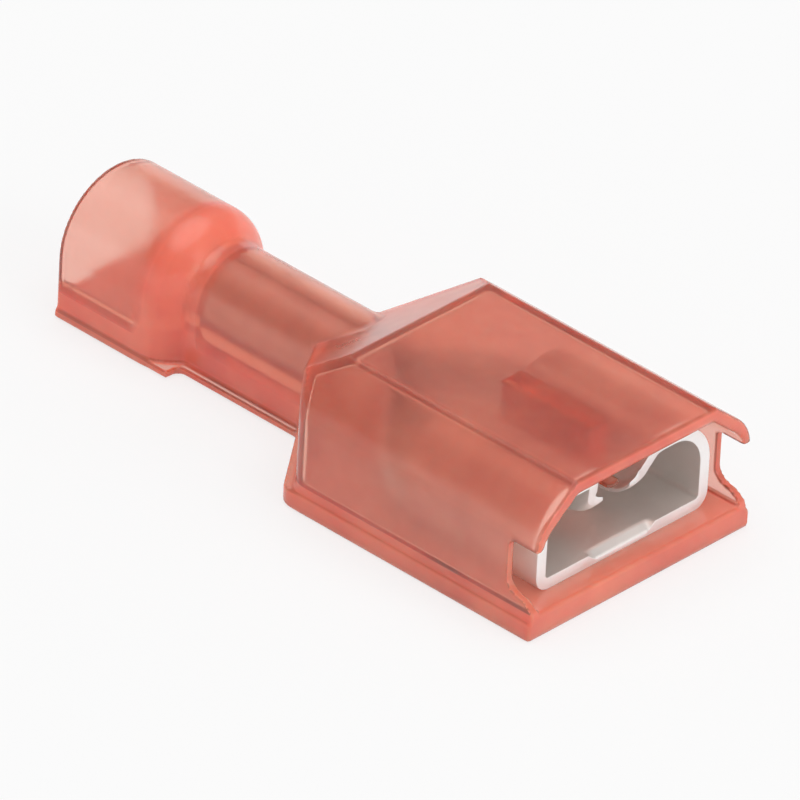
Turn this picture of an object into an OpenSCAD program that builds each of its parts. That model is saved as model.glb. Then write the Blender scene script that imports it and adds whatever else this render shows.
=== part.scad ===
// Fully insulated female spade terminal: one moulded nylon housing over one receptacle that is
// rolled from sheet, for a 6.35 x 0.8 mm tab and a wire of 0.5 to 1.5 mm2.
// +X points out of the tab mouth, +Y is to the side, +Z is up. The flat underside lies on Z = 0.
// The origin is under the middle of the overall length.

/* [Housing box] */
// Length from the mouth back to the widest point of the shoulders
box_length = 9.9; // [9.6:0.05:13]
// Length of the flat top
top_length = 9.5; // [8.5:0.05:9.8]
// Width over the ledge at the foot of the sides
base_width = 9.7; // [9.5:0.05:12]
// Overall height
box_height = 4.95; // [4.8:0.05:6]
// Width of the flat top
top_width = 6.12; // [5:0.02:7]
// Height at which the slanted upper sides would meet the upright sides
slant_foot = 3.6; // [3.3:0.05:4.2]
// Rounding between the slanted and the upright sides
slant_round = 1.6; // [0.6:0.1:1.9]
// Slope of the facet behind the top, in degrees
facet_angle = 30.5; // [25:0.5:40]
// Length of the plan taper from the sides in to the neck
shoulder_length = 2.35; // [1.8:0.05:3]
// Rounding of the shoulders seen from above
shoulder_round = 0.8; // [0.2:0.05:1.2]
// Rounding of the crease along each side of the top
crease_round = 0.25; // [0.1:0.01:0.4]

/* [Housing walls] */
// Thickness of the upright side walls
side_wall = 0.3; // [0.25:0.01:0.5]
// Thickness of the slanted upper sides
slant_wall = 0.42; // [0.3:0.01:0.5]
// Thickness of the roof and of the back facet
roof_wall = 0.45; // [0.3:0.01:0.5]
// Thickness of the base plate
floor_thickness = 0.85; // [0.75:0.01:0.9]

/* [Foot ledge] */
// Height of the ledge round the box
ledge_height = 0.57; // [0.3:0.01:0.7]
// Width of the ledge along the sides
ledge_width = 0.12; // [0.05:0.01:0.3]
// Distance from the shoulders back to the edge of their ledge
shoulder_ledge = 0.4; // [0.2:0.01:0.6]
// Height of the ledge along the neck and under the bell
tail_ledge_height = 0.25; // [0.15:0.01:0.5]
// Width of the ledge along the neck
neck_ledge = 0.25; // [0.1:0.01:0.35]
// Width of the ledge along the bell
bell_ledge = 0.08; // [0.02:0.01:0.12]
// Rounding in the corner above the shoulders' ledge
ledge_fillet = 0.25; // [0.05:0.01:0.3]
// Rounding of the base plate's front corners
plate_round = 0.15; // [0.05:0.01:0.4]

/* [Mouth] */
// Depth of the notch in each side wall
notch_depth = 1.15; // [0.8:0.05:2]
// Height of the top edge of the notch, under the lip
notch_top = 3.05; // [2.6:0.05:3.4]
// Height of the notch's sill at its inner end
notch_sill = 1.4; // [1.1:0.05:1.8]
// Height that the sill falls on its way to the front
sill_fall = 0.25; // [0.1:0.05:0.4]
// Rounding in the corners of the notch
notch_round = 0.35; // [0.1:0.05:0.4]
// Width of the rib that hangs from the roof between the rolled edges
rib_width = 0.95; // [0.6:0.05:1]
// Clear height under the rib, above the receptacle's floor
rib_clearance = 1.6; // [1.3:0.02:1.9]
// Distance from the mouth to the front of the rib
rib_setback = 2; // [1.5:0.05:2.5]
// Length of the rib
rib_length = 3.6; // [2:0.1:4.5]
// Length of the thin tongue that runs forward from the rib's underside
tongue_length = 0.75; // [0.4:0.05:1]
// Thickness of the tongue
tongue_thickness = 0.17; // [0.12:0.01:0.3]

/* [Neck and bell] */
// Length of the neck
neck_length = 5.3; // [4:0.05:8]
// Radius of the arched neck
neck_radius = 1.69; // [1.65:0.01:2]
// Length of the bell, with its shoulder
bell_length = 4.85; // [4.2:0.05:7]
// Radius of the arched bell
bell_radius = 2.41; // [2.35:0.01:2.8]
// Length of the slope between the neck and the bell
bell_slope = 0.72; // [0.6:0.02:1]
// Rounding where the slope meets the bell
bell_round = 1.2; // [0.6:0.05:1.3]
// Rounding where the slope meets the neck
neck_round = 0.4; // [0.2:0.05:0.5]
// Thickness of the bell's wall at the rim
bell_wall = 0.42; // [0.3:0.01:0.6]
// Depth of the wire entry before it narrows
entry_depth = 3.2; // [2:0.05:3.4]
// Radius to which the chamber's end narrows, ahead of the barrel
throat_radius = 1.1; // [0.95:0.05:1.3]
// Length of the throat
throat_length = 1.3; // [0.8:0.05:1.5]
// Rounding of the wire entry's lower corners
entry_round = 0.5; // [0.2:0.05:0.8]
// Distance from the neck's rear end forward to the barrel
barrel_inset = 0.35; // [0.2:0.05:1]

/* [Receptacle] */
// Thickness of the sheet
sheet = 0.4; // [0.3:0.01:0.42]
// Width of the tab that it takes
tab_width = 6.35; // [6.2:0.01:6.5]
// Thickness of the tab that it takes
tab_thickness = 0.8; // [0.7:0.01:0.9]
// Room beside the tab, on each side
tab_play = 0.17; // [0.1:0.01:0.3]
// Outer height of the rolled edges
roll_height = 3.26; // [3:0.02:3.4]
// Outer rounding of the upper bends
roll_bend = 1.6; // [1.2:0.05:1.7]
// Outer rounding of the lower bends
floor_bend = 0.55; // [0.45:0.05:1]
// Distance from the mouth to the receptacle's front edge
receptacle_setback = 0.8; // [0.5:0.05:1.2]
// Length of the rolled edges
roll_length = 5.4; // [4.5:0.05:6]
// Gap between the tips of the rolled edges
tip_gap = 1.2; // [1:0.05:1.5]
// Width of the level strip behind each tip, which lies on the tab
tip_run = 0.45; // [0.35:0.05:0.5]
// Width of the steep arm between the tip strip and the top
arm_run = 0.35; // [0.2:0.05:0.4]
// How far the rolled edges open upward at the front
flare_rise = 0.6; // [0.2:0.05:0.7]
// Length of the flared lead-in
flare_length = 1.5; // [0.8:0.05:2.5]
// How far the tips stand back from the front edge
tip_setback = 0.35; // [0.1:0.05:0.8]
// Height of the locking dimple in the floor
dimple_height = 0.2; // [0.1:0.01:0.25]
// Radius of the locking dimple
dimple_radius = 0.75; // [0.5:0.05:1]
// Distance from the receptacle's front edge to the dimple
dimple_setback = 3.4; // [2.5:0.1:4]

/* [Crimp barrel] */
// Inner radius of the barrel
barrel_bore = 0.85; // [0.7:0.01:0.9]
// Length of the barrel
barrel_length = 6.8; // [5:0.05:7.5]
// Width of the seam along the top of the barrel
seam_width = 0.08; // [0.04:0.01:0.2]
// Clearance between the barrel and the neck's bore
barrel_clearance = 0.05; // [0.03:0.01:0.08]

/* [Hidden] */
nylon = [0.88, 0.34, 0.27];
tinned = [0.82, 0.82, 0.8];
$fn = 96;
past = 1;                 // how far a cutting shape runs past what it cuts
sunk = 0.1;               // how far an added shape reaches into what carries it
embed = 0.01;             // how far one sheet shape lies inside the other where they join
bend_facets = 5;          // flat strips in each bend of the sheet
corner_facets = 6;        // flat strips in each rounded corner of the housing

front_x = (box_length + shoulder_length + neck_length + bell_length) / 2;
shoulder_x = front_x - box_length;
neck_x = shoulder_x - shoulder_length;
bell_x = neck_x - neck_length;
rear_x = bell_x - bell_length;
notch_x = front_x - notch_depth;

side_y = base_width / 2 - ledge_width;
cavity_y = side_y - side_wall;
neck_foot_y = neck_radius + neck_ledge;
bell_foot_y = bell_radius + bell_ledge;
facet_slope = tan(facet_angle);
slant_angle = atan((box_height - slant_foot) / (side_y - top_width / 2));

barrel_radius = barrel_bore + sheet;
axis_height = floor_thickness + barrel_radius;
bore_radius = barrel_radius + barrel_clearance;
funnel_radius = barrel_bore + barrel_clearance;
barrel_rear_x = bell_x + barrel_inset;
barrel_front_x = barrel_rear_x + barrel_length;

metal_y = tab_width / 2 + tab_play + sheet;
metal_front_x = front_x - receptacle_setback;
roll_end_x = metal_front_x - roll_length;
floor_mid = floor_thickness + sheet / 2;
roof_mid = floor_thickness + roll_height - sheet / 2;
wall_mid = metal_y - sheet / 2;
tip_y = tip_gap / 2;
arm_y = tip_y + tip_run;
roof_y = arm_y + arm_run;
grip_mid = floor_thickness + sheet + tab_thickness + sheet / 2;

// ---- outlines ----

function unit(v) = v / norm(v);

function mix(a, b, t) = a + (b - a) * t;

function eased(t) = t * t * (3 - 2 * t);

// Smallest turn between two directions, in degrees
function turn(from, to) = (to - from + 540) % 360 - 180;

function flat(p) = [p[0], p[1]];

// Points of the corner at b between a and c, rounded with radius r
function corner_points(a, b, c, r, facets) =
    r == 0 ? [b] :
    let (u = unit(a - b), w = unit(c - b), half = acos(u * w) / 2,
         centre = b + unit(u + w) * r / sin(half),
         first = b + u * r / tan(half) - centre,
         last = b + w * r / tan(half) - centre,
         start = atan2(first[1], first[0]),
         sweep = turn(start, atan2(last[1], last[0])))
    [for (i = [0:facets])
        let (angle = start + sweep * i / facets)
        centre + r * [cos(angle), sin(angle)]];

// Closed outline through corners given as [x, y, radius]
function rounded(corners, facets) =
    let (n = len(corners))
    [for (i = [0:n - 1])
        each corner_points(flat(corners[(i + n - 1) % n]), flat(corners[i]),
                           flat(corners[(i + 1) % n]), corners[i][2], facets)];

// Open path through corners given as [x, y, radius], with sharp ends
function bent_path(corners, facets) =
    let (n = len(corners))
    [flat(corners[0]),
     for (i = [1:n - 2])
        each corner_points(flat(corners[i - 1]), flat(corners[i]), flat(corners[i + 1]),
                           corners[i][2], facets),
     flat(corners[n - 1])];

function reversed(list) = [for (i = [len(list) - 1:-1:0]) list[i]];

// A half section given as [y, z, radius], completed on the other side of the middle
function mirrored_section(half) =
    [each half, for (c = reversed(half)) [-c[0], c[1], c[2]]];

// A half plan given as [x, y, radius], completed on the other side of the middle
function mirrored_plan(half) =
    [each half, for (c = reversed(half)) [c[0], -c[1], c[2]]];

// Runs a Y-Z outline along X from one station to the other
module along_x(from_x, to_x) {
    translate([from_x, 0, 0])
        rotate([90, 0, 90])
            linear_extrude(height = to_x - from_x)
                children();
}

// Runs an X-Z outline across the whole width
module across_y() {
    translate([0, base_width, 0])
        rotate([90, 0, 0])
            linear_extrude(height = 2 * base_width)
                children();
}

module both_sides() {
    children();
    mirror([0, 1, 0])
        children();
}

// ---- housing, outside ----

// Plan of the box for a given half width, moved back by a distance at the shoulders
module box_plan(side, back, front_round) {
    polygon(rounded(mirrored_plan([
        [front_x, side, front_round],
        [shoulder_x - back, side, shoulder_round],
        [neck_x - back, neck_radius, 0]
    ]), corner_facets));
}

// Side view of the box under a flat top of a given length, with its sloping back facet
module box_profile(length) {
    polygon([
        [front_x + past, 0],
        [front_x + past, box_height],
        [front_x - length, box_height],
        [front_x - length - box_height / facet_slope, 0]
    ]);
}

module box_outside() {
    intersection() {
        along_x(neck_x - past, front_x)
            polygon(rounded(mirrored_section([
                [side_y, 0, 0],
                [side_y, slant_foot, slant_round],
                [top_width / 2, box_height, crease_round]
            ]), corner_facets));
        linear_extrude(height = box_height)
            box_plan(side_y, 0, 0);
        across_y()
            box_profile(top_length);
    }
}

// The neck, its slope and the bell: one outline turned over the top and drawn straight down
module tail_outside() {
    front = shoulder_x + sunk;
    side = bent_path([
        [rear_x, bell_radius, 0],
        [bell_x - bell_slope, bell_radius, bell_round],
        [bell_x, neck_radius, neck_round],
        [front, neck_radius, 0]
    ], corner_facets);
    translate([0, 0, axis_height])
        rotate([0, 90, 0])
            rotate([0, 0, 90])
                rotate_extrude(angle = 180)
                    polygon([for (p = side) [p[1], p[0]], [0, front], [0, rear_x]]);
    linear_extrude(height = axis_height)
        polygon([each side, for (p = reversed(side)) [p[0], -p[1]]]);
}

module tail_foot() {
    linear_extrude(height = tail_ledge_height)
        polygon(rounded(mirrored_plan([
            [rear_x, bell_foot_y, 0],
            [bell_x, bell_foot_y, 0],
            [bell_x + sunk, neck_foot_y, 2 * sunk],
            [shoulder_x, neck_foot_y, 0]
        ]), corner_facets));
}

module box_foot() {
    linear_extrude(height = ledge_height)
        box_plan(side_y + ledge_width, shoulder_ledge, plate_round);
}

// Hollow corner between a wall and its ledge, along a straight line on the plan
module foot_fillet(from, to, level, radius) {
    run = to - from;
    translate([from[0], from[1], level])
        rotate([0, 0, atan2(run[1], run[0])])
            rotate([90, 0, 90])
                linear_extrude(height = norm(run))
                    polygon([
                        [sunk, radius],
                        for (i = [0:corner_facets])
                            let (angle = 90 * i / corner_facets)
                            [-radius, radius] + radius * [cos(angle), -sin(angle)],
                        [-radius, -sunk],
                        [sunk, -sunk]
                    ]);
}

module foot_fillets() {
    neck_foot = [neck_x, -neck_radius];
    inward = unit([neck_x - shoulder_x, side_y - neck_radius]);
    shoulder = [shoulder_x, -side_y] + inward * shoulder_round / 2;
    both_sides() {
        foot_fillet([bell_x + 2 * sunk, -neck_radius], neck_foot, tail_ledge_height, neck_ledge);
        foot_fillet(neck_foot, shoulder, ledge_height, ledge_fillet);
        foot_fillet([shoulder_x + shoulder_round / 2, -side_y], [notch_x, -side_y],
                    ledge_height, ledge_width);
    }
}

// ---- housing, inside ----

// Height of the slanted wall's inner face at a distance from the middle
function slant_inside(y) =
    box_height - (y - top_width / 2) * tan(slant_angle) - slant_wall / cos(slant_angle);

// Distance from the middle of the slanted wall's inner face at a height
function slant_inside_y(z) =
    top_width / 2 + (box_height - z - slant_wall / cos(slant_angle)) / tan(slant_angle);

// The room for the receptacle and the tab: the outside, moved in by the walls
module box_hollow() {
    facet_step = roof_wall / sin(facet_angle);
    intersection() {
        along_x(neck_x, front_x + past)
            polygon(rounded(mirrored_section([
                [cavity_y, floor_thickness, side_wall / 2],
                [cavity_y, slant_inside(cavity_y), slant_round - side_wall],
                [slant_inside_y(box_height - roof_wall), box_height - roof_wall, crease_round]
            ]), corner_facets));
        linear_extrude(height = box_height)
            polygon(rounded(mirrored_plan([
                [front_x + past, cavity_y, 0],
                [shoulder_x + side_wall / 2, cavity_y, shoulder_round / 2],
                [neck_x + shoulder_length / 4, bore_radius + sunk, 0]
            ]), corner_facets));
        across_y()
            box_profile(top_length - facet_step);
    }
}

// The bell's wire entry: an arched chamber that steps down to a throat before the barrel
module wire_entry() {
    entry_y = bell_radius - bell_wall;
    step_x = rear_x + entry_depth;
    throat_x = barrel_rear_x - throat_length;
    intersection() {
        along_x(rear_x - past, barrel_rear_x) {
            intersection() {
                translate([0, axis_height])
                    circle(r = entry_y);
                translate([-base_width / 2, floor_thickness])
                    square([base_width, box_height]);
            }
            polygon(rounded([
                [-entry_y, axis_height, 0],
                [-entry_y, floor_thickness, entry_round],
                [entry_y, floor_thickness, entry_round],
                [entry_y, axis_height, 0]
            ], corner_facets));
        }
        translate([0, 0, axis_height])
            rotate([0, 90, 0])
                rotate_extrude()
                    polygon([
                        [0, rear_x - past],
                        [base_width, rear_x - past],
                        [base_width, step_x],
                        [entry_y, step_x],
                        [throat_radius, throat_x],
                        [funnel_radius, barrel_rear_x],
                        [0, barrel_rear_x]
                    ]);
    }
}

module neck_bore() {
    translate([barrel_rear_x, 0, axis_height])
        rotate([0, 90, 0])
            cylinder(r = bore_radius, h = neck_x + shoulder_length - barrel_rear_x);
    translate([barrel_rear_x - sunk, 0, axis_height])
        rotate([0, 90, 0])
            cylinder(r = funnel_radius, h = 2 * sunk);
}

// Open notch between the lip and the base plate, cut through both side walls
module mouth_notches() {
    across_y()
        polygon(rounded([
            [front_x + past, notch_top, 0],
            [notch_x, notch_top, notch_round / 2],
            [notch_x, notch_sill, notch_round],
            [front_x - sill_fall, notch_sill - sill_fall, notch_round],
            [front_x, floor_thickness, 0],
            [front_x + past, floor_thickness, 0]
        ], corner_facets));
}

module roof_rib() {
    rib_front = front_x - rib_setback;
    round_centre = floor_thickness + sheet + rib_clearance + rib_width / 2;
    along_x(rib_front - rib_length, rib_front) {
        translate([0, round_centre])
            circle(d = rib_width);
        translate([-rib_width / 2, round_centre])
            square([rib_width, box_height - roof_wall + sunk - round_centre]);
    }
    along_x(rib_front - sunk, rib_front + tongue_length)
        intersection() {
            translate([0, round_centre])
                circle(d = rib_width);
            translate([-rib_width / 2, round_centre - rib_width / 2])
                square([rib_width, tongue_thickness]);
        }
}

module housing() {
    color(nylon) {
        difference() {
            union() {
                box_outside();
                tail_outside();
                tail_foot();
                box_foot();
                foot_fillets();
            }
            box_hollow();
            wire_entry();
            neck_bore();
            mouth_notches();
        }
        roof_rib();
    }
}

// ---- receptacle ----

// A bent sheet. Each row holds the sheet's middle line at one station, as [x, y, z] points
module bent_sheet(rows, thickness) {
    n = len(rows[0]);
    m = len(rows);
    skins = [
        for (side = [1, -1], row = rows, i = [0:n - 1])
            let (a = row[max(i - 1, 0)], b = row[min(i + 1, n - 1)],
                 along = unit([b[1] - a[1], b[2] - a[2]]))
            row[i] + side * thickness / 2 * [0, along[1], -along[0]]
    ];
    function at(side, j, i) = side * m * n + j * n + i;
    function quad(a, b, c, d) = [[a, c, b], [a, d, c]];
    polyhedron(points = skins, faces = [
        for (j = [0:m - 2], i = [0:n - 2])
            each quad(at(0, j, i), at(0, j + 1, i), at(0, j + 1, i + 1), at(0, j, i + 1)),
        for (j = [0:m - 2], i = [0:n - 2])
            each quad(at(1, j, i), at(1, j, i + 1), at(1, j + 1, i + 1), at(1, j + 1, i)),
        for (j = [0:m - 2])
            each quad(at(0, j, 0), at(1, j, 0), at(1, j + 1, 0), at(0, j + 1, 0)),
        for (j = [0:m - 2])
            each quad(at(0, j, n - 1), at(0, j + 1, n - 1), at(1, j + 1, n - 1), at(1, j, n - 1)),
        for (i = [0:n - 2])
            each quad(at(0, 0, i), at(0, 0, i + 1), at(1, 0, i + 1), at(1, 0, i)),
        for (i = [0:n - 2])
            each quad(at(0, m - 1, i), at(1, m - 1, i), at(1, m - 1, i + 1), at(0, m - 1, i + 1))
    ]);
}

// Middle line of one rolled edge, from its tip over the top and down to the floor.
// open is 0 where it grips the tab and 1 at the flared front.
function rolled_edge(open) =
    let (low = grip_mid + open * flare_rise)
    bent_path([
        [tip_y, low + sheet / 8, 0],
        [arm_y, low, sheet * 3 / 4],
        [roof_y, roof_mid, sheet],
        [wall_mid, roof_mid, roll_bend - sheet / 2],
        [wall_mid, floor_mid, floor_bend - sheet / 2],
        [0, floor_mid, 0]
    ], bend_facets);

// The whole section at one station, with the hanging tips standing back from the front edge
function rolled_row(x, open) =
    let (half = rolled_edge(open),
         right = [for (p = half)
             let (hangs = p[0] < roof_y + sheet && p[1] > axis_height,
                  share = hangs ? min(1, (roof_mid - p[1]) / (roof_mid - half[0][1])) : 0)
             [x - open * tip_setback * share, p[0], p[1]]])
    [each right, for (i = [len(right) - 2:-1:0]) [right[i][0], -right[i][1], right[i][2]]];

module rolled_body() {
    steps = 4;
    bent_sheet([
        for (k = [0:steps])
            rolled_row(metal_front_x - flare_length * k / steps, pow(1 - k / steps, 2)),
        rolled_row(roll_end_x, 0)
    ], sheet);
}

// Middle line of the trough that carries the floor back into the barrel.
// closing runs from 0 under the rolled edges to 1 at the barrel; gap is half the open angle.
function trough_row(x, closing, gap) =
    let (radius = barrel_bore + sheet / 2, steps = 28,
         half = mix(wall_mid - embed, radius, closing),
         squareness = mix(0.35, 1, closing))
    [for (i = [0:steps])
        let (angle = 90 + gap + (360 - 2 * gap) * i / steps, c = cos(angle), s = sin(angle))
        [x, half * sign(c) * pow(abs(c), squareness),
         axis_height + radius * sign(s) * pow(abs(s), squareness)]];

module trough() {
    low_gap = 130;
    wall_gap = 95;
    closed_gap = 12;
    steps = 9;
    low_end = roll_end_x - sheet;
    finish = barrel_front_x - sheet;
    bent_sheet([
        trough_row(roll_end_x + sheet, 0, low_gap),
        trough_row(low_end, 0, low_gap),
        for (k = [0:steps])
            let (t = k / steps)
            trough_row(mix(low_end - sunk, finish, t), eased(t), mix(wall_gap, closed_gap, eased(t)))
    ], sheet - 2 * embed);
}

// Raised dimple that locks into the hole of the tab
module dimple() {
    ball = (dimple_radius * dimple_radius + dimple_height * dimple_height) / (2 * dimple_height);
    top = floor_thickness + sheet;
    intersection() {
        translate([metal_front_x - dimple_setback, 0, top + dimple_height - ball])
            sphere(r = ball);
        translate([metal_front_x - dimple_setback, 0, floor_mid])
            cylinder(r = dimple_radius + sunk, h = sheet + dimple_height);
    }
}

module barrel() {
    translate([barrel_rear_x, 0, axis_height])
        rotate([0, 90, 0])
            difference() {
                cylinder(r = barrel_radius, h = barrel_length);
                translate([0, 0, -past])
                    cylinder(r = barrel_bore, h = barrel_length + 2 * past);
                translate([-barrel_radius - past, -seam_width / 2, -past])
                    cube([barrel_radius + past, seam_width, barrel_length + 2 * past]);
            }
}

module receptacle() {
    color(tinned) {
        rolled_body();
        dimple();
        trough();
        barrel();
    }
}

housing();
receptacle();
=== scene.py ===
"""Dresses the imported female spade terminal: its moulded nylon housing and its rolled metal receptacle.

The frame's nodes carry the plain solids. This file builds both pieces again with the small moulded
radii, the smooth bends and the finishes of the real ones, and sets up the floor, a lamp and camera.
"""

from __future__ import annotations

import logging
import math
from dataclasses import dataclass, field
from enum import Enum
from typing import Callable

import bpy
import numpy as np
from mathutils import Matrix, Vector

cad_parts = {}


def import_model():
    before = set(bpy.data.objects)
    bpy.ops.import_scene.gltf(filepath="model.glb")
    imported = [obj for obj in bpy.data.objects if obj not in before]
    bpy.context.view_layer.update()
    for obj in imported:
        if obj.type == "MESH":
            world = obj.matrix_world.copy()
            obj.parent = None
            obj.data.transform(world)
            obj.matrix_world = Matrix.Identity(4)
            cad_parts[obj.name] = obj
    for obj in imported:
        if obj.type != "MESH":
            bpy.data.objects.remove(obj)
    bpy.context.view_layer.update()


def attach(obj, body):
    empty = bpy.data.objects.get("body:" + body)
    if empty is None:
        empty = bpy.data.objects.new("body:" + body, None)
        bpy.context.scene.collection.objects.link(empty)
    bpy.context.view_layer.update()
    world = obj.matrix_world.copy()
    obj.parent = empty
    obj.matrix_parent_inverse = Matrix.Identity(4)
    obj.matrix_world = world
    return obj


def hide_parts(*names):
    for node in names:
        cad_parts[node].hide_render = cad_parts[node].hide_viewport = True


MM = 0.001
log = logging.getLogger("spade_terminal")

Array = np.ndarray


# ---- distances ----


def both(a: Array, b: Array, radius: float = 0.0, cosine: float = 0.0) -> Array:
    """Distance to what two shapes share, with the edge between them rounded.

    Args:
        a: Distance to the first shape, in millimetres and negative inside.
        b: Distance to the second shape.
        radius: Radius of the rounded edge.
        cosine: Cosine of the angle between the outward directions of the two faces at that edge.

    Returns:
        The distance to the shared shape.
    """
    sharp = np.maximum(a, b)
    if radius <= 0.0:
        return sharp
    p, q = a + radius, b + radius
    corner = (p - cosine * q > 0.0) & (q - cosine * p > 0.0)
    square = (p * p + q * q - 2.0 * cosine * p * q) / (1.0 - cosine * cosine)
    return np.where(corner, np.sqrt(np.maximum(square, 0.0)) - radius, sharp)


def either(a: Array, b: Array, radius: float = 0.0, cosine: float = 0.0) -> Array:
    """Distance to two shapes together, with a fillet in the corner between them.

    Args:
        a: Distance to the first shape, in millimetres and negative inside.
        b: Distance to the second shape.
        radius: Radius of the fillet.
        cosine: Cosine of the angle between the outward directions of the two faces at that corner.

    Returns:
        The distance to the shapes together.
    """
    return -both(-a, -b, radius, cosine)


def without(a: Array, cut: Array, radius: float = 0.0) -> Array:
    """Distance to a shape that another one is cut out of, with the rim rounded.

    Args:
        a: Distance to the shape, in millimetres and negative inside.
        cut: Distance to what is cut away.
        radius: Radius of the rounded rim.

    Returns:
        The distance to what is left.
    """
    return both(a, -cut, radius)


@dataclass(frozen=True)
class Slope:
    """A straight face through two points of a side view, with its outside on the left of the run."""

    start: tuple[float, float]
    end: tuple[float, float]

    @property
    def normal(self) -> tuple[float, float]:
        """Outward direction of the face."""
        run, rise = self.end[0] - self.start[0], self.end[1] - self.start[1]
        length = math.hypot(run, rise)
        return -rise / length, run / length

    def distance(self, u: Array, v: Array) -> Array:
        """Signed distance from the face.

        Args:
            u: First coordinate of the side view.
            v: Second coordinate of the side view.

        Returns:
            The distance, positive on the outside.
        """
        nu, nv = self.normal
        return (u - self.start[0]) * nu + (v - self.start[1]) * nv


# ---- meshes ----


def new_object(name: str, mesh: bpy.types.Mesh) -> bpy.types.Object:
    """Links a new object for a mesh.

    Args:
        name: Name of the piece.
        mesh: The piece's mesh.

    Returns:
        The new object.
    """
    piece = bpy.data.objects.new(name, mesh)
    bpy.context.scene.collection.objects.link(piece)
    return piece


def apply_modifiers(piece: bpy.types.Object) -> None:
    """Replaces a piece's mesh by what its modifiers make of it.

    Args:
        piece: The object whose modifiers are applied.
    """
    graph = bpy.context.evaluated_depsgraph_get()
    made = bpy.data.meshes.new_from_object(piece.evaluated_get(graph))
    piece.modifiers.clear()
    piece.data = made


@dataclass
class Skin:
    """Turns a distance into a closed mesh: one point in each small cell that the surface passes."""

    pitch: float = 0.11
    low: tuple[float, float, float] = (-11.45, -5.1, -0.25)
    high: tuple[float, float, float] = (11.45, 5.1, 5.2)
    settle_steps: int = 3
    probe: float = 0.004
    depth_name: str = "wall_depth"
    depth_step: float = 0.04
    depth_most: float = 2.0

    def mesh(self, name: str, distance: "DistanceFunction") -> bpy.types.Mesh:
        """Builds the mesh of a shape.

        Args:
            name: Name of the mesh.
            distance: Function from points in millimetres to signed distances.

        Returns:
            The mesh in metres, with smooth faces and true normals.
        """
        axes = [np.arange(lo, hi, self.pitch) for lo, hi in zip(self.low, self.high)]
        grid = np.stack(np.meshgrid(*axes, indexing="ij"), axis=-1)
        values = distance(grid.reshape(-1, 3)).reshape(grid.shape[:3])
        points, index = self._cell_points(values)
        points = points * self.pitch + np.array(self.low)
        for _ in range(self.settle_steps):
            slope = self._gradient(points, distance)
            points -= slope * distance(points)[:, None]
        quads = self._quads(values, index)
        mesh = bpy.data.meshes.new(name)
        mesh.from_pydata((points * MM).tolist(), [], quads.tolist())
        mesh.update()
        mesh.shade_smooth()
        outward = self._gradient(points, distance)
        mesh.normals_split_custom_set_from_vertices(outward.tolist())
        depth = mesh.attributes.new(self.depth_name, "FLOAT", "POINT")
        behind = self._wall_depth(points, outward, distance.walls)
        depth.data.foreach_set("value", behind.astype(np.float32))
        return mesh

    def _cell_points(self, values: Array) -> tuple[Array, Array]:
        """Puts a point in each cell that the surface passes.

        Args:
            values: Distances on the grid.

        Returns:
            The points in cells, and the number of each cell's point or -1.
        """
        cells = tuple(n - 1 for n in values.shape)
        total = np.zeros(cells + (3,))
        count = np.zeros(cells)
        for axis in range(3):
            for side in range(4):
                others = [a for a in range(3) if a != axis]
                shift = [0, 0, 0]
                shift[others[0]], shift[others[1]] = side & 1, side >> 1
                first = tuple(slice(s, s + n) for s, n in zip(shift, cells))
                shift[axis] = 1
                last = tuple(slice(s, s + n) for s, n in zip(shift, cells))
                shift[axis] = 0
                a, b = values[first], values[last]
                crossed = (a < 0.0) != (b < 0.0)
                share = np.where(crossed, a / np.where(crossed, a - b, 1.0), 0.0)
                count += crossed
                for other in others:
                    total[..., other] += np.where(crossed, shift[other], 0.0)
                total[..., axis] += share
        used = count > 0
        index = np.full(cells, -1)
        index[used] = np.arange(int(used.sum()))
        corner = np.argwhere(used).astype(float)
        return corner + total[used] / count[used][:, None], index

    def _quads(self, values: Array, index: Array) -> Array:
        """Joins the points round each grid edge that the surface crosses.

        Args:
            values: Distances on the grid.
            index: The number of each cell's point.

        Returns:
            The corners of the quads.
        """
        found = []
        for axis in range(3):
            u, v = (axis + 1) % 3, (axis + 2) % 3
            a = [slice(1, -1)] * 3
            b = [slice(1, -1)] * 3
            a[axis], b[axis] = slice(0, -1), slice(1, None)
            inside_first = values[tuple(a)] < 0.0
            crossed = np.argwhere(inside_first != (values[tuple(b)] < 0.0))
            outward = inside_first[tuple(crossed.T)]
            base = crossed.copy()
            base[:, u] += 1
            base[:, v] += 1
            corners = []
            for du, dv in ((1, 1), (0, 1), (0, 0), (1, 0)):
                cell = base.copy()
                cell[:, u] -= du
                cell[:, v] -= dv
                corners.append(index[tuple(cell.T)])
            quad = np.stack(corners, axis=1)
            quad[~outward] = quad[~outward][:, ::-1]
            found.append(quad)
        return np.concatenate(found)

    def _wall_depth(self, points: Array, outward: Array,
                    distance: Callable[[Array], Array]) -> Array:
        """How far the material reaches behind each point of the surface.

        Args:
            points: Points in millimetres.
            outward: Outward directions there.
            distance: Signed distance from the walls.

        Returns:
            The depths in millimetres, no more than the deepest that is looked for.
        """
        depth = np.full(len(points), self.depth_step)
        open_ones = np.arange(len(points))
        while len(open_ones):
            inside = distance(points[open_ones] - outward[open_ones] * depth[open_ones][:, None])
            going = (inside < -0.002) & (depth[open_ones] < self.depth_most)
            open_ones = open_ones[going]
            depth[open_ones] += np.maximum(-inside[going], self.depth_step)
        return depth

    def _gradient(self, points: Array, distance: "DistanceFunction") -> Array:
        """Outward direction at points on the surface.

        Args:
            points: Points in millimetres.
            distance: The shape's distance function.

        Returns:
            Unit vectors.
        """
        slope = np.empty_like(points)
        for axis in range(3):
            step = np.zeros(3)
            step[axis] = self.probe
            slope[:, axis] = distance(points + step) - distance(points - step)
        return slope / np.maximum(np.linalg.norm(slope, axis=1), 1e-9)[:, None]


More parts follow.
